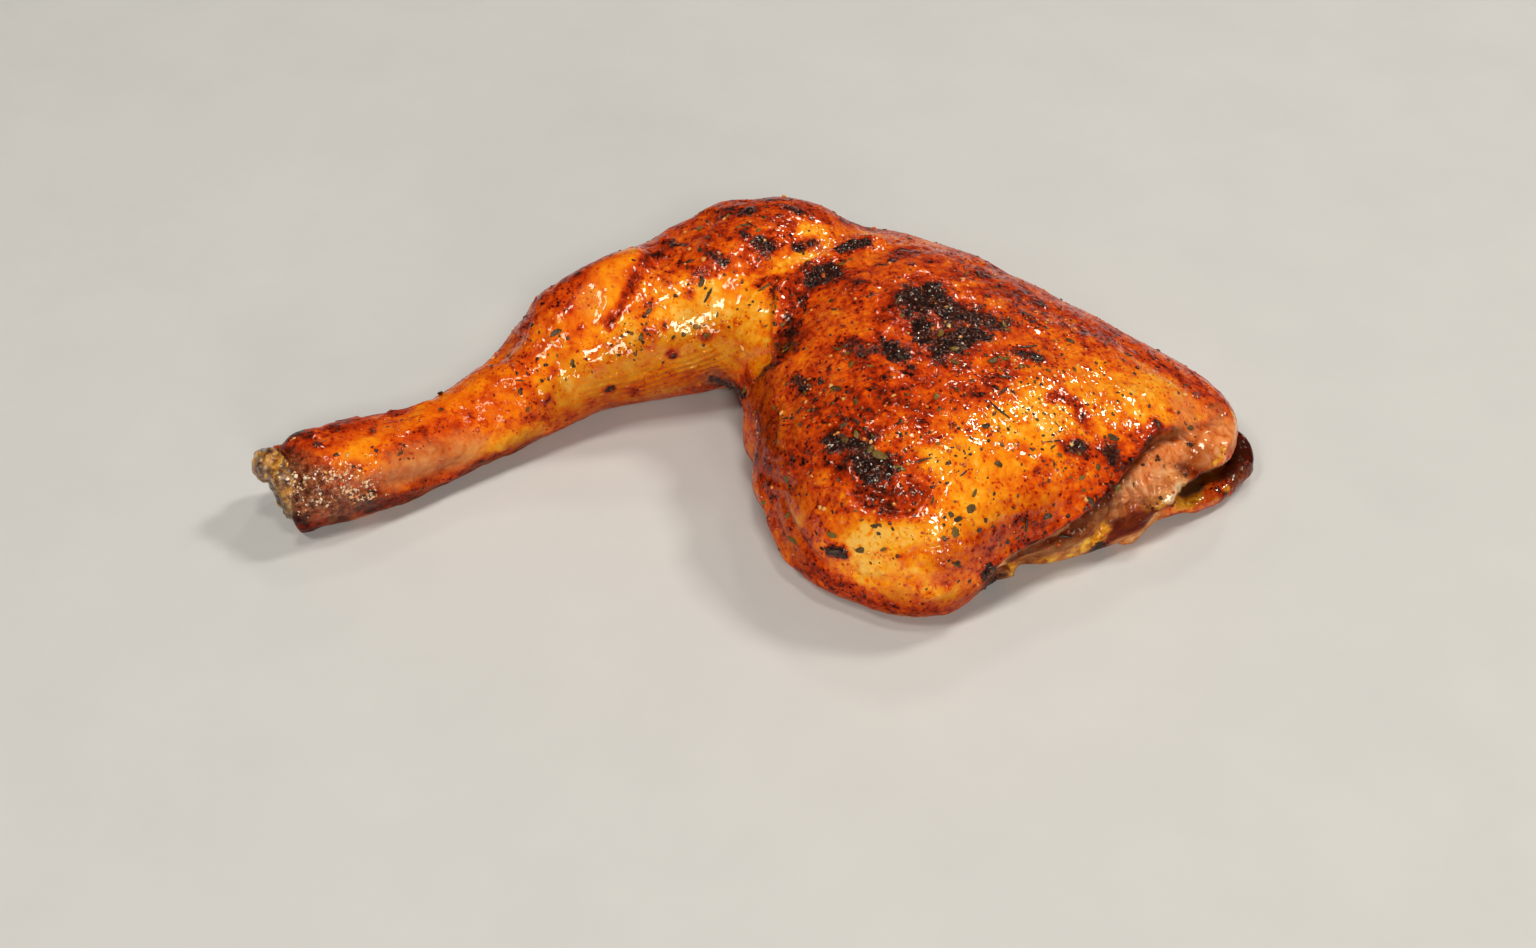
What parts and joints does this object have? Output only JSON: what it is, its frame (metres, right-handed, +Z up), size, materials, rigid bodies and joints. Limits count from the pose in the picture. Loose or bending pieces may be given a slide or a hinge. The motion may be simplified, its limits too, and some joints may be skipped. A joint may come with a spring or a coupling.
{
  "type": "grilled chicken thigh with drumstick",
  "caption": "Grilled chicken thigh with its drumstick, bent at the knee, skin side up, with charred and herbed skin, bare meat at the cut hip end and a gristly knuckle at the ankle.",
  "frame": {"origin": "middle of the foot of the box round the whole leg, on the surface it lies on", "axes": "+X from the ankle to the hip end, +Y towards the back of the knee's outer side, +Z up through the skin side"},
  "size_m": [0.2216, 0.1114, 0.0401],
  "materials": {
    "skin": "grilled chicken skin, golden orange to deep red-brown with black charred patches, oily gloss, pepper and herb flecks",
    "meat": "bare cooked thigh meat at the cut edge, pinkish tan, moist",
    "knuckle": "dry yellowish gristle with dark pits",
    "char": "bumpy black char, oily gloss",
    "seasoning": "coarse pepper, chilli and dried herb flecks"
  },
  "bodies": {
    "root": {"chicken_leg": "skin", "ankle_knuckle": "knuckle"}
  },
  "joints": []
}
